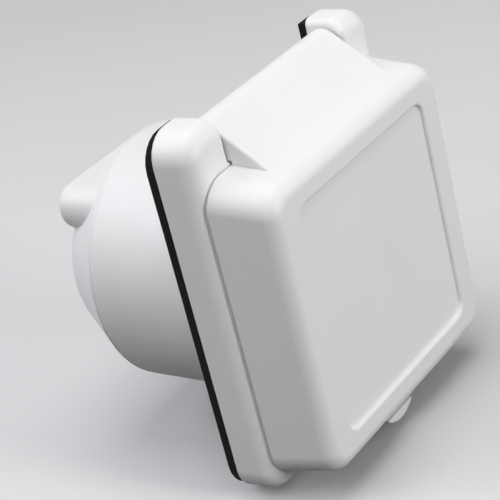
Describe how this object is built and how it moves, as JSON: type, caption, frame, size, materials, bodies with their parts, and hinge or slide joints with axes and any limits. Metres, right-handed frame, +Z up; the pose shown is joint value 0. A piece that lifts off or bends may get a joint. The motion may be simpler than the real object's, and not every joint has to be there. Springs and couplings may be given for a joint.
{
  "type": "shore_power_inlet",
  "caption": "White plastic shore power inlet for a caravan wall, with a deep hinged lid, a threaded well with locking blades, a round skirt and a cone-shaped rear cap",
  "frame": {"origin": "centre of the round wall cut-out, in the plane of the wall's outer surface, which the gasket's back lies on", "axes": "+Y points indoors along the cut-out's axis, -Y outdoors through the lid, +Z up, +X to the right for a person who looks at the lid from outdoors"},
  "size_m": [0.0984, 0.096, 0.1165],
  "materials": {
    "white_plastic": "satin moulded white plastic",
    "black_rubber": "matt",
    "dark_thermoset": "moulded dark thermoset",
    "stainless_steel": "plain stainless steel",
    "yellow_brass": "plain brass"
  },
  "bodies": {
    "root": {"inlet_body": "white_plastic", "wall_gasket": "black_rubber", "hinge_pin": "stainless_steel", "rear_cap": "white_plastic", "cap_seal": "black_rubber", "cable_clamp": "white_plastic", "cable_grommet": "black_rubber", "contact_carrier": "dark_thermoset", "ground_blade": "yellow_brass", "ground_clamp_plate": "stainless_steel", "ground_terminal_screw": "yellow_brass", "line_blade": "yellow_brass", "line_clamp_plate": "stainless_steel", "line_terminal_screw": "yellow_brass", "neutral_blade": "yellow_brass", "neutral_clamp_plate": "stainless_steel", "neutral_terminal_screw": "yellow_brass", "carrier_screw_1": "stainless_steel", "carrier_screw_2": "stainless_steel", "cap_screw_1": "stainless_steel", "cap_screw_2": "stainless_steel", "cap_screw_3": "stainless_steel", "clamp_screw_1": "stainless_steel", "clamp_screw_2": "stainless_steel"},
    "lid": {"lid": "white_plastic", "lid_seal": "black_rubber"}
  },
  "joints": [
    {"name": "lid_hinge", "type": "hinge", "parent": "root", "child": "lid", "pos_m": [0, -0.0089, 0.05455], "axis": [-1, 0, 0], "range_deg": [0, 120]}
  ]
}
